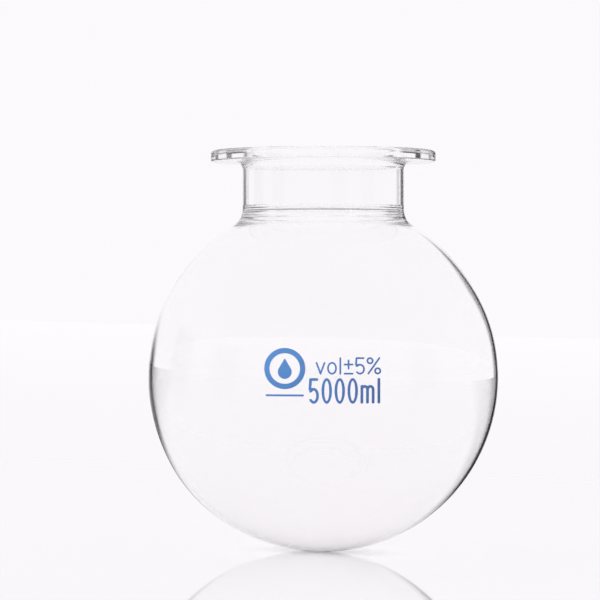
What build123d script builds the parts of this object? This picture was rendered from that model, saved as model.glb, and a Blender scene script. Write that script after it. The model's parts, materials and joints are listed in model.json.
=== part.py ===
from build123d import *
import os
from math import atan2, degrees, hypot, sqrt

# A 5 litre round bottom reaction flask of clear borosilicate glass, in millimetres.
# The axis of the globe and the neck is Z, and Z = 0 is the lowest point of the globe.
# A glassblower makes it from a blown globe, a length of tube and a pressed flange, and
# seals them together with two worked rings of glass: the shoulder and the flange root.
# The capacity, its tolerance and an emblem are fired onto the globe's front (-Y) in enamel.

# ---- Driving dimensions -------------------------------------------------------------

GLOBE_DIAMETER = 223.0
GLOBE_WALL = 2.0

NECK_DIAMETER = 103.0
NECK_WALL = 2.8
NECK_STRAIGHT = 25.0  # straight outside wall between the two fillets

FLANGE_DIAMETER = 143.5
FLANGE_THICKNESS = 7.0
FLANGE_TOP_ROUND = 2.0  # fire-polished outer edge of the ground face
FLANGE_UNDER_ROUND = 0.8
MOUTH_ROUND = 1.6  # where the ground face turns down into the bore

ROOT_FILLET = 5.0  # outside, between the neck and the underside of the flange
SHOULDER_FILLET = 13.0  # outside, between the globe and the neck
SHOULDER_LAND = 1.0  # straight tube that belongs to the shoulder ring, above its curves
BEAD_PROJECTION = 4.8  # how far the sealing bead stands into the bore
BEAD_ROUND = 3.0
BEAD_BLEND = 4.0  # hollow between the bead and the bore above it

PRINT_THICKNESS = 0.15
EMBLEM_X = -24.0
EMBLEM_HEIGHT = 7.2  # all print heights are measured from the globe's middle
EMBLEM_DIAMETER = 24.8
EMBLEM_BAND = 3.2
DROP_LENGTH = 12.5
DROP_DIAMETER = 8.4
RULE_HEIGHT = -9.0
RULE_LENGTH = 22.0
RULE_WIDTH = 1.2
CAPACITY_FIGURES = "5000"
CAPACITY_UNIT = "ml"
CAPACITY_LEFT = -9.7
CAPACITY_HEIGHT = -14.0
CAPACITY_TALL = 15.5
CAPACITY_WIDE = 43.6
CAPACITY_PEN = 1.7
TOLERANCE_TEXT = "vol±5%"
TOLERANCE_LEFT = -5.4
TOLERANCE_HEIGHT = 3.6
TOLERANCE_TALL = 10.4
TOLERANCE_WIDE = 39.6
TOLERANCE_PEN = 1.1

# Shares of a sign's own height, width or pen that give the lettering its style.
SMALL_LETTER = 0.73  # height of m, o and v beside a figure
SIGN_GAP = 0.9  # clear space between two signs, in pens
FIVE_BOWL = 0.62
FIVE_OPENING = 0.42  # part of the bowl that is left open
FIVE_STEM_FOOT = 0.56
FIVE_INSET = 0.75  # how far the bar stops inside the sign, in pens
M_ARCH = 0.5
CROSS_HEIGHT = 0.58
PERCENT_RING = 0.48
M_WIDE, L_WIDE, PERCENT_WIDE = 1.35, 0.35, 1.5  # widths, where a figure is 1

# ---- Values that follow -------------------------------------------------------------

GLOBE_R = GLOBE_DIAMETER / 2
GLOBE_INNER_R = GLOBE_R - GLOBE_WALL
GLOBE_CENTRE = (0.0, GLOBE_R)  # in the half section, as (radius, height)
NECK_R = NECK_DIAMETER / 2
BORE_R = NECK_R - NECK_WALL
FLANGE_R = FLANGE_DIAMETER / 2


def toward(start, end, distance):
    """The point at that distance from start, on the line from start to end."""
    dx, dz = end[0] - start[0], end[1] - start[1]
    share = distance / hypot(dx, dz)
    return (start[0] + dx * share, start[1] + dz * share)


# Centre of the shoulder's outside fillet, which touches the neck and the globe.
FILLET_X = NECK_R + SHOULDER_FILLET
FILLET_CENTRE = (
    FILLET_X,
    GLOBE_R + sqrt((GLOBE_R + SHOULDER_FILLET) ** 2 - FILLET_X**2),
)

# The neck and the flange stand on that fillet, so their heights follow the globe.
ROOT_BOTTOM = FILLET_CENTRE[1] + NECK_STRAIGHT
FLANGE_UNDERSIDE = ROOT_BOTTOM + ROOT_FILLET
FLANGE_TOP = FLANGE_UNDERSIDE + FLANGE_THICKNESS

# The globe ends on a cone through its own centre, where that fillet begins.
GLOBE_RIM_OUTER = toward(GLOBE_CENTRE, FILLET_CENTRE, GLOBE_R)
GLOBE_RIM_INNER = toward(GLOBE_CENTRE, FILLET_CENTRE, GLOBE_INNER_R)

# Centre of the bead's nose, which touches the globe's inner surface.
BEAD_X = BORE_R - BEAD_PROJECTION + BEAD_ROUND
BEAD_CENTRE = (BEAD_X, GLOBE_R + sqrt((GLOBE_INNER_R + BEAD_ROUND) ** 2 - BEAD_X**2))
BEAD_ON_GLOBE = toward(GLOBE_CENTRE, BEAD_CENTRE, GLOBE_INNER_R)

# Centre of the hollow above the bead, which touches the bead and the bore.
BLEND_X = BORE_R - BEAD_BLEND
BLEND_CENTRE = (
    BLEND_X,
    BEAD_CENTRE[1] + sqrt((BEAD_ROUND + BEAD_BLEND) ** 2 - (BEAD_X - BLEND_X) ** 2),
)
BEAD_ON_BLEND = toward(BEAD_CENTRE, BLEND_CENTRE, BEAD_ROUND)

# The shoulder ring ends above both its outside fillet and its inside hollow.
SHOULDER_TOP = max(FILLET_CENTRE[1], BLEND_CENTRE[1]) + SHOULDER_LAND


# ---- Half sections, turned round the Z axis -----------------------------------------


def arc(centre, start, end):
    """The shorter arc about centre, from start to end."""
    radius = hypot(start[0] - centre[0], start[1] - centre[1])
    middle = ((start[0] + end[0]) / 2, (start[1] + end[1]) / 2)
    return ThreePointArc(start, toward(centre, middle, radius), end)


def turned(*edges):
    """The solid that a closed half section sweeps round Z."""
    outline = Curve() + list(edges)
    return revolve(Plane.XZ * make_face(outline), Axis.Z)


def globe():
    """Blown spherical body: two concentric spheres, open at the shoulder."""
    bottom_outer = (0, 0)
    bottom_inner = (0, GLOBE_WALL)
    side_outer = (GLOBE_R, GLOBE_R)
    side_inner = (GLOBE_INNER_R, GLOBE_R)
    return turned(
        arc(GLOBE_CENTRE, bottom_outer, side_outer),
        arc(GLOBE_CENTRE, side_outer, GLOBE_RIM_OUTER),
        Line(GLOBE_RIM_OUTER, GLOBE_RIM_INNER),
        arc(GLOBE_CENTRE, GLOBE_RIM_INNER, side_inner),
        arc(GLOBE_CENTRE, side_inner, bottom_inner),
        Line(bottom_inner, bottom_outer),
    )


def shoulder_ring():
    """Worked seal between globe and neck, with its bead inside."""
    fillet_top = (NECK_R, FILLET_CENTRE[1])
    bead_tip = (BEAD_X - BEAD_ROUND, BEAD_CENTRE[1])
    return turned(
        arc(FILLET_CENTRE, GLOBE_RIM_OUTER, fillet_top),
        Line(fillet_top, (NECK_R, SHOULDER_TOP)),
        Line((NECK_R, SHOULDER_TOP), (BORE_R, SHOULDER_TOP)),
        Line((BORE_R, SHOULDER_TOP), (BORE_R, BLEND_CENTRE[1])),
        arc(BLEND_CENTRE, (BORE_R, BLEND_CENTRE[1]), BEAD_ON_BLEND),
        arc(BEAD_CENTRE, BEAD_ON_BLEND, bead_tip),
        arc(BEAD_CENTRE, bead_tip, BEAD_ON_GLOBE),
        arc(GLOBE_CENTRE, BEAD_ON_GLOBE, GLOBE_RIM_INNER),
        Line(GLOBE_RIM_INNER, GLOBE_RIM_OUTER),
    )


def neck_tube():
    """Straight drawn tube between the two sealed rings."""
    low, high = SHOULDER_TOP, ROOT_BOTTOM
    return turned(
        Polyline((BORE_R, low), (NECK_R, low), (NECK_R, high), (BORE_R, high), (BORE_R, low))
    )


def flange_root():
    """Worked seal between neck and flange, flared by its fillet."""
    low, high = ROOT_BOTTOM, FLANGE_UNDERSIDE
    flare = NECK_R + ROOT_FILLET
    return turned(
        Line((BORE_R, low), (NECK_R, low)),
        arc((flare, low), (NECK_R, low), (flare, high)),
        Line((flare, high), (BORE_R, high)),
        Line((BORE_R, high), (BORE_R, low)),
    )


def flange_plate():
    """Flat pressed ring with a ground top face and rounded edges."""
    low, high = FLANGE_UNDERSIDE, FLANGE_TOP
    top, under, mouth = FLANGE_TOP_ROUND, FLANGE_UNDER_ROUND, MOUTH_ROUND
    return turned(
        Line((BORE_R, low), (FLANGE_R - under, low)),
        arc((FLANGE_R - under, low + under), (FLANGE_R - under, low), (FLANGE_R, low + under)),
        Line((FLANGE_R, low + under), (FLANGE_R, high - top)),
        arc((FLANGE_R - top, high - top), (FLANGE_R, high - top), (FLANGE_R - top, high)),
        Line((FLANGE_R - top, high), (BORE_R + mouth, high)),
        arc((BORE_R + mouth, high - mouth), (BORE_R + mouth, high), (BORE_R, high - mouth)),
        Line((BORE_R, high - mouth), (BORE_R, low)),
    )


# ---- Enamel print -------------------------------------------------------------------
# Each sign is drawn flat with a round pen, in a box from (0, 0) to (wide, tall), and is
# then carried straight back onto the globe as a thin skin of enamel.


def pen_line(start, end, pen):
    """A straight stroke with round ends, from start to end."""
    dx, dy = end[0] - start[0], end[1] - start[1]
    middle = Pos((start[0] + end[0]) / 2, (start[1] + end[1]) / 2)
    return middle * Rot(0, 0, degrees(atan2(dy, dx))) * SlotCenterToCenter(hypot(dx, dy), pen)


def pen_oval(centre, wide, tall, pen):
    """A closed oval stroke whose outside is wide by tall."""
    outside = Ellipse(wide / 2, tall / 2)
    inside = Ellipse(wide / 2 - pen, tall / 2 - pen)
    return Pos(*centre) * (outside - inside)


def sign_zero(wide, tall, pen):
    return pen_oval((wide / 2, tall / 2), wide, tall, pen)


def sign_five(wide, tall, pen):
    """A bar, a short stem and a bowl that is open on its left side."""
    half, inset = pen / 2, FIVE_INSET * pen
    bowl_tall = FIVE_BOWL * tall
    corner = (inset, tall - half)
    stem_foot = (half, FIVE_STEM_FOOT * tall)
    bowl = pen_oval((wide / 2, bowl_tall / 2), wide, bowl_tall, pen)
    opening = Pos(wide / 4, bowl_tall / 2) * Rectangle(wide / 2, FIVE_OPENING * bowl_tall)
    bar = pen_line(corner, (wide - inset, tall - half), pen)
    stem = pen_line(corner, stem_foot, pen)
    link = pen_line(stem_foot, (wide / 2, bowl_tall - half), pen)
    return (bowl - opening) + bar + stem + link


def sign_o(wide, tall, pen):
    small = SMALL_LETTER * tall
    return pen_oval((wide / 2, small / 2), wide, small, pen)


def sign_l(wide, tall, pen):
    return pen_line((wide / 2, pen / 2), (wide / 2, tall - pen / 2), pen)


def sign_v(wide, tall, pen):
    half, small = pen / 2, SMALL_LETTER * tall
    left = pen_line((half, small - half), (wide / 2, half), pen)
    right = pen_line((wide / 2, half), (wide - half, small - half), pen)
    return left + right


def sign_m(wide, tall, pen):
    """Three stems joined by two round arches."""
    small = SMALL_LETTER * tall
    pitch = (wide - pen) / 2
    arch_tall = M_ARCH * small
    spring = small - arch_tall / 2
    sign = Sketch()
    for n in range(3):
        x = pen / 2 + n * pitch
        top = small - pen / 2 if n == 0 else spring
        sign += pen_line((x, pen / 2), (x, top), pen)
    for n in range(2):
        x = pen / 2 + (n + 0.5) * pitch
        below = Pos(x, spring - arch_tall) * Rectangle(2 * wide, 2 * arch_tall)
        sign += pen_oval((x, spring), pitch + pen, arch_tall, pen) - below
    return sign


def sign_plus_minus(wide, tall, pen):
    half = pen / 2
    arm = wide / 2 - half
    cross = (wide / 2, CROSS_HEIGHT * tall)
    level = pen_line((half, cross[1]), (wide - half, cross[1]), pen)
    upright = pen_line((cross[0], cross[1] - arm), (cross[0], cross[1] + arm), pen)
    return level + upright + pen_line((half, half), (wide - half, half), pen)


def sign_percent(wide, tall, pen):
    round_size = PERCENT_RING * wide
    left = pen_oval((round_size / 2, tall - round_size / 2), round_size, round_size, pen)
    right = pen_oval((wide - round_size / 2, round_size / 2), round_size, round_size, pen)
    slash = pen_line((pen, pen / 2), (wide - pen, tall - pen / 2), pen)
    return left + right + slash


SIGNS = {
    "0": (sign_zero, 1),
    "5": (sign_five, 1),
    "m": (sign_m, M_WIDE),
    "l": (sign_l, L_WIDE),
    "v": (sign_v, 1),
    "o": (sign_o, 1),
    "±": (sign_plus_minus, 1),
    "%": (sign_percent, PERCENT_WIDE),
}


def word(text, left, foot, wide, tall, pen):
    """One drawing for each sign of the text, set side by side to fill a width."""
    gap = SIGN_GAP * pen
    drawn = [SIGNS[sign] for sign in text]
    figure_wide = (wide - gap * (len(text) - 1)) / sum(share for _, share in drawn)
    placed, x = [], left
    for draw, share in drawn:
        placed.append(Pos(x, foot) * draw(share * figure_wide, tall, pen))
        x += share * figure_wide + gap
    return placed


def drop(long, wide):
    """A hanging drop: a circle with two tangents that meet at its tip, centred on (0, 0)."""
    r = wide / 2
    tip = (0, long / 2)
    middle_y = r - long / 2
    reach = tip[1] - middle_y
    tangent_x = r * sqrt(1 - (r / reach) ** 2)
    tangent_y = middle_y + r * r / reach
    point = Polygon(tip, (-tangent_x, tangent_y), (tangent_x, tangent_y), align=None)
    return Pos(0, middle_y) * Circle(r) + point


def enamel(sketches):
    """Flat drawings, as seen from -Y, carried back onto the globe's front."""
    middle = Pos(0, 0, GLOBE_R)
    skin = middle * Sphere(GLOBE_R + PRINT_THICKNESS) - middle * Sphere(GLOBE_R)
    solids = []
    for sketch in sketches:
        block = extrude(Plane.XZ * Pos(0, GLOBE_R) * sketch, GLOBE_DIAMETER)
        solids += (block & skin).solids()
    return Compound(children=solids)


def print_emblem_band():
    ring = Circle(EMBLEM_DIAMETER / 2) - Circle(EMBLEM_DIAMETER / 2 - EMBLEM_BAND)
    return enamel([Pos(EMBLEM_X, EMBLEM_HEIGHT) * ring])


def print_emblem_drop():
    return enamel([Pos(EMBLEM_X, EMBLEM_HEIGHT) * drop(DROP_LENGTH, DROP_DIAMETER)])


def print_rule():
    """A plain line below the emblem."""
    left = (EMBLEM_X - RULE_LENGTH / 2, RULE_HEIGHT)
    right = (EMBLEM_X + RULE_LENGTH / 2, RULE_HEIGHT)
    return enamel([pen_line(left, right, RULE_WIDTH)])


def capacity_signs():
    text = CAPACITY_FIGURES + CAPACITY_UNIT
    return word(text, CAPACITY_LEFT, CAPACITY_HEIGHT, CAPACITY_WIDE, CAPACITY_TALL, CAPACITY_PEN)


def print_capacity_digits():
    return enamel(capacity_signs()[: len(CAPACITY_FIGURES)])


def print_capacity_unit():
    return enamel(capacity_signs()[len(CAPACITY_FIGURES) :])


def print_tolerance():
    place = (TOLERANCE_LEFT, TOLERANCE_HEIGHT)
    return enamel(word(TOLERANCE_TEXT, *place, TOLERANCE_WIDE, TOLERANCE_TALL, TOLERANCE_PEN))


SUB_PARTS = {
    "globe": globe,
    "shoulder_ring": shoulder_ring,
    "neck_tube": neck_tube,
    "flange_root": flange_root,
    "flange_plate": flange_plate,
    "print_emblem_band": print_emblem_band,
    "print_emblem_drop": print_emblem_drop,
    "print_rule": print_rule,
    "print_capacity_digits": print_capacity_digits,
    "print_capacity_unit": print_capacity_unit,
    "print_tolerance": print_tolerance,
}

os.makedirs("parts", exist_ok=True)
for name, make in SUB_PARTS.items():
    export_step(make(), f"parts/{name}.step")
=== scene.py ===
"""Looks of a 5 litre round bottom reaction flask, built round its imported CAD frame.

The vessel's wall is one smooth closed profile. Each glass piece is the stretch of it that
its CAD node stands for, turned round the Z axis, so neighbours meet edge to edge with the
same normals and the fused glass shows no joint. All lengths are in metres.
"""

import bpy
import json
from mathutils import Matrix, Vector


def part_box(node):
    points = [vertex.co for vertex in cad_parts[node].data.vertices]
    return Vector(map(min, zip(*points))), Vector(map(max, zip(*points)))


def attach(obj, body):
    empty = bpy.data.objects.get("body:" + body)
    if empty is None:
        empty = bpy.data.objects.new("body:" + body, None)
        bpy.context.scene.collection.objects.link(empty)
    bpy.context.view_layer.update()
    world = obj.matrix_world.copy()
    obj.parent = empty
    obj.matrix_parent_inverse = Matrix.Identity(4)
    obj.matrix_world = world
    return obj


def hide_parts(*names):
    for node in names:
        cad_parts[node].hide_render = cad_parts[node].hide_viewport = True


bl_info = {
    "name": "Round Bottom Flask",
    "version": (1, 0, 0),
    "blender": (4, 5, 0),
    "location": "3D View > Sidebar > Flask",
    "description": "A clear glass round bottom flask with its fired print, on a pale studio floor",
    "category": "Add Mesh",
}

import json
from math import atan2, cos, pi, radians, sin, sqrt

import bpy
import numpy as np

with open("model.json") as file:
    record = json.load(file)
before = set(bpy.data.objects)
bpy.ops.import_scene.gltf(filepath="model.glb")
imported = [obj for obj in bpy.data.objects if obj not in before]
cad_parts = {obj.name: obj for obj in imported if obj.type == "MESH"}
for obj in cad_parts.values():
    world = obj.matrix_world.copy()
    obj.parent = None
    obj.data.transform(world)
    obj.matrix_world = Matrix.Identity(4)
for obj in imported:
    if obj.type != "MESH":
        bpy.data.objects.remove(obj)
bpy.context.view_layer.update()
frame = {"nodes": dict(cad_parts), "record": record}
BODY = "root"
MILLIMETRE = 0.001
TURNS = 288  # even steps round the axis, the same on every piece so that they meet


def mount_radius(name):
    """Radius of one of the record's round mounts."""
    mounts = frame["record"]["mounts"]
    return next(m["dims"]["r_mm"] for m in mounts if m["name"] == name) * MILLIMETRE


# ---- Sizes and colours that a user would change --------------------------------------


def length(name, description, default, **more):
    """A length setting, shown in Blender's own units."""
    return bpy.props.FloatProperty(
        name=name,
        description=description,
        default=default,
        min=0.0,
        precision=5,
        unit="LENGTH",
        subtype="DISTANCE",
        **more,
    )


def colour(name, description, default):
    return bpy.props.FloatVectorProperty(
        name=name, description=description, default=default, size=3, min=0.0, max=1.0, subtype="COLOR"
    )


def angle(name, description, degrees):
    return bpy.props.FloatProperty(
        name=name, description=description, default=radians(degrees), unit="ROTATION", subtype="ANGLE"
    )


class FlaskWall(bpy.types.PropertyGroup):
    """Sizes of the glass wall."""

    globe_radius: length("Globe radius", "Outside of the globe", 0.1115)
    globe_wall: length("Globe wall", "Wall of the globe", 0.0020)
    neck_radius: length("Neck radius", "Outside of the neck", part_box("neck_tube")[1].x)
    bore_radius: length("Bore radius", "Inside of the neck", mount_radius("neck_bore"))
    flange_radius: length("Flange radius", "Outside of the flange", mount_radius("flange_rim"))
    top_round: length("Top edge", "Rounding of the flange's top edge", 0.002)
    under_round: length("Under edge", "Rounding of the flange's lower edge", 0.0008)
    mouth_round: length("Mouth edge", "Rounding between the ground face and the bore", 0.0016)
    shoulder_fillet: length("Shoulder fillet", "Outside fillet from globe to neck", 0.013)
    bead_projection: length("Bead projection", "How far the sealing bead stands into the bore", 0.0048)
    bead_round: length("Bead nose", "Radius of the sealing bead's nose", 0.003)
    bead_blend: length("Bead hollow", "Radius of the hollow above the bead", 0.004)


class FlaskBlow(bpy.types.PropertyGroup):
    """How the blown globe departs from a true sphere."""

    flat_shoulder: length("Flat shoulder", "How far the shoulder falls inside the sphere", 0.0005)
    full_side: length("Full side", "How far the lower left side stands out of the sphere", 0.0009)
    wall_shift: length("Wall shift", "How much thicker the left wall is, and thinner the right", 0.0003)


class FlaskFinish(bpy.types.PropertyGroup):
    """Colours of the glass and the print."""

    glass_tint: colour("Glass tint", "Tint of the clear glass", (0.998, 0.993, 0.997))
    glass_tint_deep: colour("Deeper tint", "Tint where the glass is a little denser", (0.994, 0.986, 0.992))
    print_light: colour("Light enamel", "Enamel at the emblem's upper left", (0.070, 0.290, 0.700))
    print_dark: colour("Dark enamel", "Enamel at the far right", (0.012, 0.048, 0.230))


class FlaskStudio(bpy.types.PropertyGroup):
    """Floor, light and camera."""

    backdrop: colour("Backdrop", "Bright panels and background", (0.965, 0.950, 0.972))
    # Colour of the dark cards, and of the painted shade on the floor.
    card_colour: colour("Card", "Dark cards beside the bright background", (0.014, 0.009, 0.016))
    card_edge: angle("Card edge", "Width of a card's soft edge", 6.0)
    # Where the painted shade on the floor starts and where it is full, as the glass wall sees it.
    dark_from: length("Dark floor from", "Where the floor starts to darken, as the glass wall sees it", 0.03)
    dark_to: length("Dark floor to", "Where the floor is fully dark, as the glass wall sees it", 0.38)
    fill_light: bpy.props.FloatProperty(
        name="Fill light", description="Brightness of the light on the floor", default=1.10, min=0.0
    )
    # Painted shade on the floor round the flask's foot: how far its deep part reaches, and how dark it is.
    touch_reach: bpy.props.FloatProperty(name="Contact shade reach", default=0.07, min=0.0, unit="LENGTH")
    touch_shade: bpy.props.FloatProperty(name="Contact shade", default=0.95, min=0.0, max=1.0)
    # How far the faint part of the painted floor shade reaches, and how dark it is.
    shade_reach: bpy.props.FloatProperty(name="Faint shade reach", default=0.30, min=0.0, unit="LENGTH")
    faint_shade: bpy.props.FloatProperty(name="Faint shade", default=0.06, min=0.0, max=1.0)
    floor_colour: colour("Floor", "Colour of the floor", (0.91, 0.90, 0.915))
    floor_lean: angle("Floor lean", "How far the floor leans from level", 1.9)
    floor_size: length("Floor size", "Radius of the floor", 15.0)
    camera_distance: length("Camera distance", "From the flask's axis", 2.0)
    camera_height: length("Camera height", "Above the floor", 0.160)
    camera_aside: length("Camera aside", "How far the camera stands left of the axis", 0.0148)
    camera_lens: bpy.props.FloatProperty(
        name="Lens", description="Focal length", default=188.3, min=1.0, subtype="DISTANCE_CAMERA"
    )


SETTINGS = {
    "flask_wall": FlaskWall,
    "flask_blow": FlaskBlow,
    "flask_finish": FlaskFinish,
    "flask_studio": FlaskStudio,
}


# ---- Shader maths ---------------------------------------------------------------------


class Num:
    """A number in a shader. An expression on it adds the Math nodes that work it out."""

    def __init__(self, nodes, socket):
        self.nodes = nodes
        self.socket = socket

    def maths(self, operation, *values):
        return self.nodes.number("ShaderNodeMath", {"operation": operation}, *values)

    def __add__(self, other):
        return self.maths("ADD", self, other)

    def __radd__(self, other):
        return self.maths("ADD", other, self)

    def __sub__(self, other):
        return self.maths("SUBTRACT", self, other)

    def __rsub__(self, other):
        return self.maths("SUBTRACT", other, self)

    def __mul__(self, other):
        return self.maths("MULTIPLY", self, other)

    def __rmul__(self, other):
        return self.maths("MULTIPLY", other, self)

    def __truediv__(self, other):
        return self.maths("DIVIDE", self, other)

    def smooth(self, low, high):
        """0 below low, 1 above high, and a smooth step between them."""
        settings = {"interpolation_type": "SMOOTHSTEP"}
        return self.nodes.number("ShaderNodeMapRange", settings, self, low, high, 0.0, 1.0)


class Nodes:
    """The nodes of one material or world."""

    def __init__(self, owner):
        owner.use_nodes = True
        self.tree = owner.node_tree
        self.tree.nodes.clear()

    def add(self, kind, settings=None, *values, **named):
        """A node of that type: its settings first, then its sockets, in order or by name."""
        node = self.tree.nodes.new(kind)
        for key, value in (settings or {}).items():
            if key == "stops":
                self.set_stops(node.color_ramp, value)
            else:
                setattr(node, key, value)
        sockets = [s for s in node.inputs if s.enabled]
        for socket, value in list(zip(sockets, values)) + [(node.inputs[k], v) for k, v in named.items()]:
            self.put(socket, value)
        return node

    def set_stops(self, ramp, stops):
        while len(ramp.elements) < len(stops):
            ramp.elements.new(1.0)
        for element, (place, shade) in zip(ramp.elements, stops):
            element.position = place
            element.color = (*shade, 1.0)

    def put(self, socket, value):
        if isinstance(value, Num):
            value = value.socket
        if isinstance(value, bpy.types.NodeSocket):
            self.tree.links.new(value, socket)
        elif socket.type == "RGBA":
            socket.default_value = (*value, 1.0)
        else:
            socket.default_value = value

    def number(self, kind, settings, *values, **named):
        """The first output of a new node, as a number."""
        return Num(self, self.add(kind, settings, *values, **named).outputs[0])

    def split(self, vector):
        """The three numbers of a vector."""
        return [Num(self, s) for s in self.add("ShaderNodeSeparateXYZ", None, vector).outputs]

    def mix(self, factor, first, second):
        """A colour between two colours."""
        node = self.add("ShaderNodeMix", {"data_type": "RGBA"})
        for key, value in (("Factor_Float", factor), ("A_Color", first), ("B_Color", second)):
            self.put(next(s for s in node.inputs if s.identifier == key), value)
        return next(s for s in node.outputs if s.identifier == "Result_Color")

    def noise(self, place, scale, detail=2.0):
        """Smooth noise of about 0 to 1, with that many waves to a metre."""
        settings = {"noise_dimensions": "3D"}
        return self.number("ShaderNodeTexNoise", settings, Vector=place, Scale=scale, Detail=detail)


def new_material(name):
    material = bpy.data.materials.new(name)
    nodes = Nodes(material)
    place = nodes.add("ShaderNodeTexCoord").outputs["Object"]
    return material, nodes, place


def finish_material(nodes, surface):
    nodes.add("ShaderNodeOutputMaterial", None, surface)


def clear_glass(finish):
    """Polished borosilicate: slow changes of tint, faint ripples of the blown wall and a trace of film."""
    material, nodes, place = new_material("clear_glass")
    density = nodes.noise(place, 14.0).smooth(0.35, 0.65)
    film = nodes.noise(place, 60.0, 4.0).smooth(0.55, 0.8)
    ripple = nodes.noise(place, 22.0, 1.0)
    bump = nodes.add("ShaderNodeBump", None, Strength=1.0, Distance=0.00002, Height=ripple)
    surface = nodes.add(
        "ShaderNodeBsdfPrincipled",
        None,
        **{
            "Base Color": nodes.mix(density, tuple(finish.glass_tint), tuple(finish.glass_tint_deep)),
            "Roughness": film * 0.012,
            "IOR": 1.473,
            "Transmission Weight": 1.0,
            "Normal": bump.outputs[0],
        },
    )
    finish_material(nodes, surface.outputs[0])
    return material


def ground_glass(finish):
    """The flange's sealing face, ground flat: fine rings of grinding marks on a satin surface."""
    material, nodes, place = new_material("ground_glass")
    x, y, _ = nodes.split(place)
    radius = nodes.number("ShaderNodeMath", {"operation": "SQRT"}, x * x + y * y)
    rings = nodes.number("ShaderNodeMath", {"operation": "SINE"}, radius * 9000.0)
    grain = nodes.noise(place, 2600.0, 2.0)
    bump = nodes.add("ShaderNodeBump", None, Strength=0.4, Distance=0.00004, Height=grain + rings * 0.15)
    surface = nodes.add(
        "ShaderNodeBsdfPrincipled",
        None,
        **{
            "Base Color": nodes.mix(grain, tuple(finish.glass_tint), (0.95, 0.95, 0.955)),
            "Roughness": 0.22 + grain * 0.12,
            "IOR": 1.473,
            "Transmission Weight": 1.0,
            "Normal": bump.outputs[0],
        },
    )
    finish_material(nodes, surface.outputs[0])
    return material


def fused_seam():
    """Where two sections of glass are sealed: nothing is left to see, so light goes straight on."""
    material, nodes, _ = new_material("fused_seam")
    finish_material(nodes, nodes.add("ShaderNodeBsdfTransparent").outputs[0])
    return material


def fired_enamel(finish):
    """Blue screen-printed enamel, paler at the upper left, with a fine grain."""
    material, nodes, place = new_material("fired_enamel")
    x, _, z = nodes.split(place)
    slope = ((x + 0.036) / 0.070 + (0.131 - z) / 0.100) * 0.62
    patches = nodes.noise(place, 180.0, 3.0)
    grain = nodes.noise(place, 2400.0, 2.0)
    clamped = {"operation": "ADD", "use_clamp": True}
    across = nodes.number("ShaderNodeMath", clamped, slope, patches * 0.3 - 0.15)
    flat = nodes.mix(across, tuple(finish.print_light), tuple(finish.print_dark))
    bump = nodes.add("ShaderNodeBump", None, Strength=0.5, Distance=0.00003, Height=grain)
    surface = nodes.add(
        "ShaderNodeBsdfPrincipled",
        None,
        **{
            "Base Color": nodes.mix(grain * 0.18, flat, (0.35, 0.5, 0.8)),
            "Roughness": 0.28 + grain * 0.2,
            "IOR": 1.5,
            "Normal": bump.outputs[0],
        },
    )
    finish_material(nodes, surface.outputs[0])
    return material


def made(name, make, *settings):
    """The material of that name, made the first time it is asked for."""
    return bpy.data.materials.get(name) or make(*settings)


# ---- The wall's profile, in the half plane (radius, height) --------------------------
# It runs from the globe's lowest point up the outside, over the flange and down the
# inside, with the glass on its left. A stretch is (points, normals, finish), and its
# normals point out of the glass: the direction of travel turned a quarter to the right.

POLISHED, SEAM, GROUND = 0, 1, 2


def arc(centre, radius, start, end, step=radians(2.5)):
    """Centre plus radius times (cosine, sine) of an angle that runs evenly from start to end."""
    count = max(2, round(abs(end - start) / step))
    turn = np.linspace(start, end, count + 1)
    out = np.column_stack((np.cos(turn), np.sin(turn)))
    return np.add(centre, radius * out), out * np.sign(end - start), POLISHED


def line(start, end, finish=POLISHED, count=1):
    """Start plus an even share of the way to end."""
    start, end = np.array(start), np.array(end)
    along = (end - start) / np.linalg.norm(end - start)
    points = start + np.linspace(0, 1, count + 1)[:, None] * (end - start)
    return points, np.tile((along[1], -along[0]), (count + 1, 1)), finish


def toward(centre, point):
    """Direction of a point from a centre, as an angle up from the radius axis."""
    return atan2(point[1] - centre[1], point[0] - centre[0])


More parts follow.
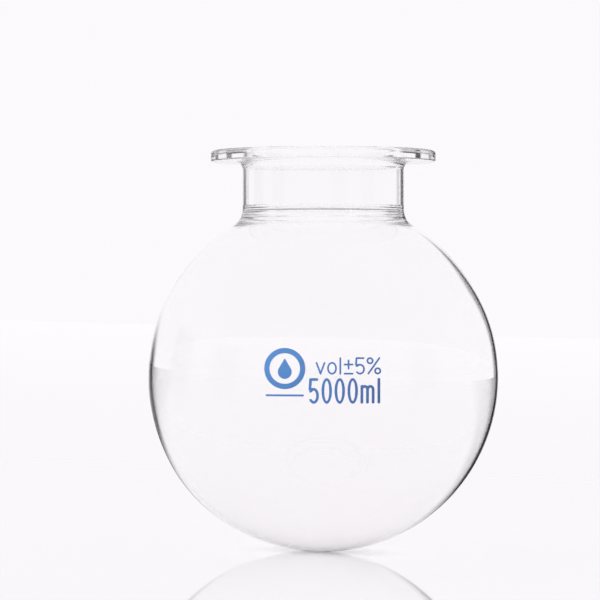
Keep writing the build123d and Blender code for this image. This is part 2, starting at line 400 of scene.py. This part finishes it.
class Profile:
    """Centres, heights and angles that the sections of the wall share."""

    def __init__(self, wall):
        self.wall = wall
        self.globe_centre = (0.0, wall.globe_radius)
        self.inner_radius = wall.globe_radius - wall.globe_wall
        self.plate_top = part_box("flange_plate")[1].z
        self.plate_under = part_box("flange_plate")[0].z
        self.neck_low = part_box("neck_tube")[0].z
        self.neck_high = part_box("neck_tube")[1].z

        fillet_x = wall.neck_radius + wall.shoulder_fillet
        reach = wall.globe_radius + wall.shoulder_fillet
        self.fillet_centre = (fillet_x, wall.globe_radius + sqrt(reach**2 - fillet_x**2))
        self.rim_angle = toward(self.globe_centre, self.fillet_centre)

        bead_x = wall.bore_radius - wall.bead_projection + wall.bead_round
        reach = self.inner_radius + wall.bead_round
        self.bead_centre = (bead_x, wall.globe_radius + sqrt(reach**2 - bead_x**2))
        self.bead_angle = toward(self.globe_centre, self.bead_centre)

        blend_x = wall.bore_radius - wall.bead_blend
        reach = wall.bead_round + wall.bead_blend
        self.blend_centre = (blend_x, self.bead_centre[1] + sqrt(reach**2 - (bead_x - blend_x) ** 2))
        self.blend_angle = toward(self.bead_centre, self.blend_centre)

    def on_globe(self, radius, turn):
        return (radius * cos(turn), self.wall.globe_radius + radius * sin(turn))

    def globe(self):
        """Outside from the lowest point to the rim, the rim, and the inside back down."""
        outside, inside = self.wall.globe_radius, self.inner_radius
        rim = self.rim_angle
        step = (rim + pi / 2) / 148
        return [
            arc(self.globe_centre, outside, -pi / 2, rim, step),
            line(self.on_globe(outside, rim), self.on_globe(inside, rim), SEAM),
            arc(self.globe_centre, inside, rim, -pi / 2, step),
        ]

    def shoulder(self):
        """Fillet and straight land outside; bore, hollow, bead and a strip of sphere inside."""
        wall, inside, rim = self.wall, self.inner_radius, self.rim_angle
        neck, bore, top = wall.neck_radius, wall.bore_radius, self.neck_low
        fillet_end = (neck, self.fillet_centre[1])
        bore_end = (bore, self.blend_centre[1])
        return [
            arc(self.fillet_centre, wall.shoulder_fillet, rim - pi, -pi, radians(1.5)),
            line(fillet_end, (neck, top)),
            line((neck, top), (bore, top), SEAM),
            line((bore, top), bore_end),
            arc(self.blend_centre, wall.bead_blend, 0.0, self.blend_angle - pi),
            arc(self.bead_centre, wall.bead_round, self.blend_angle, self.bead_angle + pi),
            arc(self.globe_centre, inside, self.bead_angle, rim, radians(0.5)),
            line(self.on_globe(inside, rim), self.on_globe(wall.globe_radius, rim), SEAM),
        ]

    def neck(self):
        """Two straight walls."""
        neck, bore = self.wall.neck_radius, self.wall.bore_radius
        low, high = self.neck_low, self.neck_high
        return [
            line((neck, low), (neck, high), POLISHED, 12),
            line((neck, high), (bore, high), SEAM),
            line((bore, high), (bore, low), POLISHED, 12),
            line((bore, low), (neck, low), SEAM),
        ]

    def root(self):
        """A quarter round fillet outside and the straight bore inside."""
        neck, bore = self.wall.neck_radius, self.wall.bore_radius
        low, high = self.neck_high, self.plate_under
        fillet = high - low
        flare = neck + fillet
        return [
            arc((flare, low), fillet, pi, pi / 2),
            line((flare, high), (bore, high), SEAM),
            line((bore, high), (bore, low)),
            line((bore, low), (neck, low), SEAM),
        ]

    def plate(self):
        """Underside, lower edge, rim, top edge, ground face, mouth and bore, back to the root."""
        wall = self.wall
        under, top, mouth = wall.under_round, wall.top_round, wall.mouth_round
        rim, bore = wall.flange_radius, wall.bore_radius
        low, high = self.plate_under, self.plate_top
        flare = wall.neck_radius + self.plate_under - self.neck_high
        return [
            line((flare, low), (rim - under, low), POLISHED, 4),
            arc((rim - under, low + under), under, -pi / 2, 0.0, radians(7.5)),
            line((rim, low + under), (rim, high - top), POLISHED, 3),
            arc((rim - top, high - top), top, 0.0, pi / 2, radians(5)),
            line((rim - top, high), (bore + mouth, high), GROUND, 6),
            arc((bore + mouth, high - mouth), mouth, pi / 2, pi, radians(5)),
            line((bore, high - mouth), (bore, low), POLISHED, 3),
            line((bore, low), (flare, low), SEAM),
        ]


# ---- Meshes ----------------------------------------------------------------------------


def hump(value, middle, half):
    """Half a turn of a raised cosine: 1 at the middle, and 0 from half either side of it."""
    return 0.5 + 0.5 * np.cos(pi * np.clip((value - middle) / half, -1, 1))


def swell(turn, lift, inside, blow):
    """How far the blown wall stands out of a true sphere, at turn round the axis and latitude lift.

    The shoulder falls in by a hump of latitude. The lower left side stands out by a hump of
    latitude times a squared cosine of the turn. Inside, the wall is also shifted sideways by
    a cosine of the turn, faded out before the rim so that it meets the shoulder.
    """
    flat = -blow.flat_shoulder * hump(lift, radians(36), radians(22))
    side = np.clip(-np.cos(turn), 0, 1) ** 2
    full = blow.full_side * side * hump(lift, radians(-44), radians(34))
    level = np.clip((radians(56) - lift) / radians(26), 0, 1)
    fade = level * level * (3 - 2 * level)
    shift = blow.wall_shift * np.cos(turn) * np.cos(lift) * fade
    return flat + full + np.where(inside, shift, 0.0)


def blown(points, normals, inside, blow, centre_height):
    """Moves points of the globe out by the swell, and tips their normals by its slope."""
    offset = points - (0.0, 0.0, centre_height)
    radius = np.linalg.norm(offset, axis=-1)
    flat_radius = np.maximum(np.hypot(offset[..., 0], offset[..., 1]), 1e-7)
    turn = np.arctan2(offset[..., 1], offset[..., 0])
    lift = np.arctan2(offset[..., 2], flat_radius)
    small = 1e-4
    rise = swell(turn, lift, inside, blow)
    on_turn, off_turn = (swell(turn + step, lift, inside, blow) for step in (small, -small))
    on_lift, off_lift = (swell(turn, lift + step, inside, blow) for step in (small, -small))
    by_turn = (on_turn - off_turn) / (2 * small)
    by_lift = (on_lift - off_lift) / (2 * small)
    out = offset / radius[..., None]
    zero = np.zeros_like(turn)
    round_axis = np.stack((-np.sin(turn), np.cos(turn), zero), -1)
    up_sphere = np.cross(out, round_axis)
    slope = round_axis * (by_turn / flat_radius)[..., None] + up_sphere * (by_lift / radius)[..., None]
    sense = np.where(inside, -1.0, 1.0)[..., None]
    moved = points + out * rise[..., None]
    tipped = normals - sense * slope
    return moved, tipped / np.linalg.norm(tipped, axis=-1, keepdims=True)


def turned_mesh(name, stretches, shape=None):
    """Turns a loop of stretches round the Z axis into a closed mesh with exact normals.

    A vertex is (radius cos turn, radius sin turn, height), for each point of the loop and each
    of TURNS even turns. A point on the axis gives one vertex. A face joins two neighbouring
    points and two neighbouring turns, and each of its corners has its own stretch's normal.
    """
    points = np.concatenate([p[:-1] for p, _, _ in stretches])
    open_loop = points[0][0] < 1e-9
    if open_loop:
        points = np.vstack((points, stretches[-1][0][-1]))
        points[[0, -1], 0] = 0.0
    first_normals = np.concatenate([n[:-1] for _, n, _ in stretches])
    last_normals = np.concatenate([n[1:] for _, n, _ in stretches])
    finishes = np.concatenate([np.full(len(p) - 1, f) for p, _, f in stretches])

    on_axis = points[:, 0] < 1e-9
    base = np.concatenate(([0], np.cumsum(np.where(on_axis, 1, TURNS))[:-1]))
    step = np.arange(TURNS)
    index = base[:, None] + np.where(on_axis[:, None], 0, step)
    turn = step * (2 * pi / TURNS)

    def spun(flat, turns):
        """(radius, height) pairs, turned to those angles."""
        out, up = flat[..., 0], flat[..., 1]
        return np.stack((out * np.cos(turns), out * np.sin(turns), up + 0 * turns), -1)

    one = np.arange(len(finishes))
    two = (one + 1) % len(points)
    right = (step + 1) % TURNS
    corners = np.stack((index[one], index[one][:, right], index[two][:, right], index[two]), -1)
    turns = np.broadcast_to(np.stack((turn, turn[right], turn[right], turn), -1), corners.shape)
    flat_normals = np.stack((first_normals, first_normals, last_normals, last_normals), 1)[:, None]
    normals = spun(np.broadcast_to(flat_normals, (*corners.shape, 2)), turns)
    flat_points = np.stack((points[one], points[one], points[two], points[two]), 1)[:, None]
    places = spun(np.broadcast_to(flat_points, (*corners.shape, 2)), turns)

    vertices = spun(points[:, None], turn[None, :])
    if shape:
        inner = np.arange(len(points)) > shape.outer_steps
        vertices, _ = shape.blow(vertices, np.zeros_like(vertices), inner[:, None] & np.ones(TURNS, bool))
        inner_edge = np.broadcast_to((one > shape.outer_steps)[:, None, None], corners.shape)
        polished = (finishes == POLISHED)[:, None, None, None]
        tipped = shape.blow(places, normals, inner_edge)[1]
        normals = np.where(polished, tipped, normals)
    keep = np.concatenate([np.arange(TURNS) if not axis else [0] for axis in on_axis])
    rows = np.repeat(np.arange(len(points)), np.where(on_axis, 1, TURNS))
    vertices = vertices[rows, keep]

    corners = corners.reshape(-1, 4)
    normals = normals.reshape(-1, 4, 3)
    used = corners != np.roll(corners, 1, axis=1)
    sizes = used.sum(1)
    mesh = bpy.data.meshes.new(name)
    mesh.vertices.add(len(vertices))
    mesh.vertices.foreach_set("co", vertices.ravel())
    mesh.loops.add(int(sizes.sum()))
    mesh.loops.foreach_set("vertex_index", corners[used])
    mesh.polygons.add(len(sizes))
    mesh.polygons.foreach_set("loop_start", np.concatenate(([0], np.cumsum(sizes)[:-1])))
    mesh.polygons.foreach_set("material_index", np.repeat(finishes, TURNS))
    mesh.update(calc_edges=True)
    mesh.shade_smooth()
    mesh.normals_split_custom_set(normals[used])
    return mesh


class GlobeShape:
    """The swell of the blown globe, for turned_mesh."""

    def __init__(self, wall, blow, outer_steps):
        self.height = wall.globe_radius
        self.blow_sizes = blow
        self.outer_steps = outer_steps

    def blow(self, points, normals, inside):
        return blown(points, normals, inside, self.blow_sizes, self.height)


def add_glass(context, name, node, stretches, shape=None):
    """A glass piece in place of its CAD node."""
    finish = context.scene.flask_finish
    mesh = turned_mesh(name, stretches, shape)
    for material in (
        made("clear_glass", clear_glass, finish),
        made("fused_seam", fused_seam),
        made("ground_glass", ground_glass, finish),
    ):
        mesh.materials.append(material)
    piece = bpy.data.objects.new(name, mesh)
    context.scene.collection.objects.link(piece)
    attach(piece, BODY)
    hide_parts(node)
    # The stage's light is all round the flask, so clear glass leaves no shadow on the floor; the floor's
    # contact shade is painted instead.
    piece.visible_shadow = False
    return piece


class FlaskOperator(bpy.types.Operator):
    """Shared by the flask's operators."""

    bl_options = {"REGISTER", "UNDO"}


class FLASK_OT_globe(FlaskOperator):
    """Add the blown globe, a thin wall with a pole at its lowest point"""

    bl_idname = "flask.globe"
    bl_label = "Globe"

    def execute(self, context):
        wall, blow = context.scene.flask_wall, context.scene.flask_blow
        stretches = Profile(wall).globe()
        shape = GlobeShape(wall, blow, len(stretches[0][0]) - 1)
        add_glass(context, "glass_globe", "globe", stretches, shape)
        return {"FINISHED"}


class FLASK_OT_shoulder(FlaskOperator):
    """Add the worked seal between globe and neck, with its bead"""

    bl_idname = "flask.shoulder"
    bl_label = "Shoulder"

    def execute(self, context):
        add_glass(context, "glass_shoulder", "shoulder_ring", Profile(context.scene.flask_wall).shoulder())
        return {"FINISHED"}


class FLASK_OT_neck(FlaskOperator):
    """Add the straight neck"""

    bl_idname = "flask.neck"
    bl_label = "Neck"

    def execute(self, context):
        add_glass(context, "glass_neck", "neck_tube", Profile(context.scene.flask_wall).neck())
        return {"FINISHED"}


class FLASK_OT_flange(FlaskOperator):
    """Add the flange's root and its ground plate"""

    bl_idname = "flask.flange"
    bl_label = "Flange"

    def execute(self, context):
        profile = Profile(context.scene.flask_wall)
        add_glass(context, "glass_flange_root", "flange_root", profile.root())
        add_glass(context, "glass_flange_plate", "flange_plate", profile.plate())
        return {"FINISHED"}


class FLASK_OT_print(FlaskOperator):
    """Give the fired print its enamel"""

    bl_idname = "flask.print"
    bl_label = "Print"

    def execute(self, context):
        enamel = made("fired_enamel", fired_enamel, context.scene.flask_finish)
        for name, node in frame["nodes"].items():
            if name.startswith("print_"):
                for slot in node.material_slots:
                    slot.material = enamel
        return {"FINISHED"}


# ---- Studio ------------------------------------------------------------------------------


# Dark cards beside the bright background, each as its bearing from and to, clockwise from
# +Y, the height of its top and how dark it is. Angles are in degrees, as the glass sees them.
FRONT_CARDS = ((11.5, 33.0, 14.0, 1.0), (-34.0, -13.0, 1.0, 0.9))
# Fainter cards that outline the glass from its other sides. Its outer face doesn't reflect them.
SIDE_CARDS = (
    (-84.0, -56.0, 14.0, 0.6),
    (-124.0, -96.0, 14.0, 0.6),
    (98.0, 126.0, 14.0, 0.4),
    (144.0, 172.0, 14.0, 0.4),
)

# Painted shade: beside the flask the floor is painted dark for light that has come through or off the
# glass, between these bearings off +Y in degrees, each as where it starts to change and where it has changed.
PAINTED_DARK_STARTS = (10, 20)
PAINTED_DARK_ENDS = (56, 70)
# The outer face stops reflecting the painted dark floor between these.
PAINTED_DARK_OFF_OUTER = (34, 48)
# How dark the painted shade is on the left, how much darker on the right, and the half-width of the change.
PAINTED_DARK_LEFT = 0.87
PAINTED_DARK_RIGHT_MORE = 0.09
PAINTED_DARK_CHANGE = 0.1
# The share of x that brings the painted shade nearer on the right.
PAINTED_DARK_NEARER = 0.8
# Inside this distance, in metres, the faint painted shade on the floor is full.
SHADE_FULL = 0.02


class LightPath:
    """What a ray has met so far, each as 0 or 1, so that the set can be lit as glass is in a studio."""

    def __init__(self, nodes):
        path = nodes.add("ShaderNodeLightPath").outputs
        crossings = Num(nodes, path["Transmission Depth"])
        self.camera = Num(nodes, path["Is Camera Ray"])
        self.diffused = Num(nodes, path["Diffuse Depth"]).smooth(0.0, 1.0)
        self.in_glass = crossings.smooth(0.0, 1.0)
        self.past_wall = crossings.smooth(2.0, 3.0)
        self.reflected = Num(nodes, path["Glossy Depth"]).smooth(0.0, 1.0)
        # Reflected after crossing the whole wall: a faint ghost in the globe's middle.
        self.ghost = self.past_wall * self.reflected
        # Reflected inside one wall and out again, which draws the outline.
        self.guided = self.in_glass * (1 - self.past_wall) * self.reflected
        # Reflected off the outer face.
        self.mirrored = (1 - self.in_glass) * self.reflected


def card_shade(cards, bearing, height, edge):
    """How dark the cards are in a direction: a soft-edged patch for each, added up."""
    dark = 0.0
    for start, end, top, strength in cards:
        from_start = bearing.smooth(radians(start), radians(start) + edge)
        past_end = bearing.smooth(radians(end) - edge, radians(end))
        above = height.smooth(radians(top), radians(top) + edge)
        dark = dark + (from_start - past_end) * (1 - above) * strength
    return dark


def studio_world(studio):
    """An even bright light all round, and dark cards that only the glass picks up.

    Clear glass is drawn by its surroundings: its thin edges bend the view 5 to 40 degrees
    aside, so they show the cards, and its middle shows the bright background straight behind.
    """
    world = bpy.data.worlds.new("studio")
    nodes = Nodes(world)
    x, y, z = nodes.split(nodes.add("ShaderNodeTexCoord").outputs["Generated"])
    bearing = nodes.number("ShaderNodeMath", {"operation": "ARCTAN2"}, x, y)
    height = nodes.number("ShaderNodeMath", {"operation": "ARCSINE"}, z)
    path = LightPath(nodes)
    front = card_shade(FRONT_CARDS, bearing, height, studio.card_edge)
    sides = card_shade(SIDE_CARDS, bearing, height, studio.card_edge) * path.in_glass
    dark = (front + sides) * (1 - path.camera) * (1 - path.diffused) * (1 - path.ghost)
    even = tuple(studio.backdrop)
    shade = nodes.mix(dark, even, tuple(studio.card_colour))
    light = nodes.add("ShaderNodeBackground", None, shade, 1 + path.diffused * (studio.fill_light - 1))
    nodes.add("ShaderNodeOutputWorld", None, light.outputs[0])
    return world


def between(bearing, degrees):
    """0 below the first of two bearings, 1 above the second and smooth between."""
    start, end = degrees
    return bearing.smooth(radians(start), radians(end))


def glossy_floor(studio):
    """Pale polished acrylic: an even colour with faint clouding under a clear gloss, and a painted
    contact shadow round the flask's foot.

    The light that draws the outline sees the acrylic fade into painted shade at either side, a dark
    floor that only light through or off the glass meets, nearer and darker on the right: the fade
    grows with distance from the flask plus a share of x. There is none straight behind the flask or
    in front. The outer face reflects less of it.
    """
    material, nodes, place = new_material("glossy_floor")
    cloud = nodes.noise(place, 3.0, 3.0)
    base = tuple(studio.floor_colour)
    paler = tuple(min(1.0, c * 1.03) for c in base)
    x, y, _ = nodes.split(place)
    away = nodes.number("ShaderNodeMath", {"operation": "SQRT"}, x * x + y * y)
    path = LightPath(nodes)
    # Painted shade where a resting flask would shadow the floor, put into the acrylic's colour only for
    # rays that have not crossed the glass: deep where it touches, faint to a flask's width round it.
    near = 1 - away.smooth(0.0, studio.touch_reach)
    around = 1 - away.smooth(SHADE_FULL, studio.shade_reach)
    shaded = (near * near * studio.touch_shade + around * studio.faint_shade) * (1 - path.in_glass)
    lit = nodes.mix(cloud, base, paler)
    acrylic = nodes.add(
        "ShaderNodeBsdfPrincipled",
        None,
        **{"Base Color": nodes.mix(shaded, lit, tuple(studio.card_colour)), "Roughness": 0.03, "IOR": 1.49},
    )
    bearing = nodes.number("ShaderNodeMath", {"operation": "ARCTAN2"}, x, y)
    aside = nodes.number("ShaderNodeMath", {"operation": "ABSOLUTE"}, bearing)
    fade = (away + x * PAINTED_DARK_NEARER).smooth(studio.dark_from, studio.dark_to)
    beside = between(aside, PAINTED_DARK_STARTS) - between(aside, PAINTED_DARK_ENDS)
    side = beside * (PAINTED_DARK_LEFT + x.smooth(-PAINTED_DARK_CHANGE, PAINTED_DARK_CHANGE) * PAINTED_DARK_RIGHT_MORE)
    seen = path.guided + path.mirrored * (1 - between(aside, PAINTED_DARK_OFF_OUTER))
    # Painted shade: a dark diffuse floor that only light through or off the glass sees.
    painted_dark_floor = nodes.add("ShaderNodeBsdfDiffuse", None, tuple(studio.card_colour))
    surface = nodes.add("ShaderNodeMixShader", None, fade * side * seen, acrylic.outputs[0], painted_dark_floor.outputs[0])
    finish_material(nodes, surface.outputs[0])
    return material


def floor_mesh(studio):
    """A disc: a middle point and a ring of (radius cos turn, radius sin turn), leaned about Y."""
    turn = np.linspace(0, 2 * pi, 97)[:-1]
    x, y = studio.floor_size * np.cos(turn), studio.floor_size * np.sin(turn)
    ring = np.column_stack((x, y, -x * np.tan(studio.floor_lean)))
    count = len(turn)
    faces = [(0, 1 + n, 1 + (n + 1) % count) for n in range(count)]
    mesh = bpy.data.meshes.new("floor")
    mesh.from_pydata([(0.0, 0.0, 0.0), *ring.tolist()], [], faces)
    return mesh


class FLASK_OT_stage(FlaskOperator):
    """Add the floor, the light and the camera"""

    bl_idname = "flask.stage"
    bl_label = "Stage"

    def execute(self, context):
        scene, studio = context.scene, context.scene.flask_studio
        floor = bpy.data.objects.new("floor", floor_mesh(studio))
        floor.data.materials.append(glossy_floor(studio))
        scene.collection.objects.link(floor)
        scene.world = studio_world(studio)
        scene.view_settings.view_transform = "Standard"
        scene.cycles.max_bounces = 32
        scene.cycles.transmission_bounces = 24
        scene.cycles.glossy_bounces = 12
        scene.cycles.transparent_max_bounces = 48

        lens = bpy.data.cameras.new("camera")
        lens.lens = studio.camera_lens
        lens.clip_end = 2 * studio.floor_size
        camera = bpy.data.objects.new("camera", lens)
        camera.location = (-studio.camera_aside, -studio.camera_distance, studio.camera_height)
        camera.rotation_euler = (pi / 2, 0.0, 0.0)
        scene.collection.objects.link(camera)
        scene.camera = camera
        return {"FINISHED"}


class FLASK_PT_flask(bpy.types.Panel):
    """The flask's pieces, sizes and colours"""

    bl_idname = "FLASK_PT_flask"
    bl_label = "Round Bottom Flask"
    bl_space_type = "VIEW_3D"
    bl_region_type = "UI"
    bl_category = "Flask"

    def draw(self, context):
        for operator in OPERATORS:
            self.layout.operator(operator.bl_idname)
        for key, group in SETTINGS.items():
            box = self.layout.box()
            for name in group.__annotations__:
                box.prop(getattr(context.scene, key), name)


OPERATORS = (
    FLASK_OT_globe,
    FLASK_OT_shoulder,
    FLASK_OT_neck,
    FLASK_OT_flange,
    FLASK_OT_print,
    FLASK_OT_stage,
)
CLASSES = (*SETTINGS.values(), *OPERATORS, FLASK_PT_flask)


def register():
    for cls in CLASSES:
        bpy.utils.register_class(cls)
    for key, group in SETTINGS.items():
        setattr(bpy.types.Scene, key, bpy.props.PointerProperty(type=group))


def unregister():
    for key in SETTINGS:
        delattr(bpy.types.Scene, key)
    for cls in reversed(CLASSES):
        bpy.utils.unregister_class(cls)


def main():
    """Builds every piece and the stage."""
    register()
    bpy.ops.flask.globe()
    bpy.ops.flask.shoulder()
    bpy.ops.flask.neck()
    bpy.ops.flask.flange()
    bpy.ops.flask.print()
    bpy.ops.flask.stage()


if __name__ == "__main__":
    main()
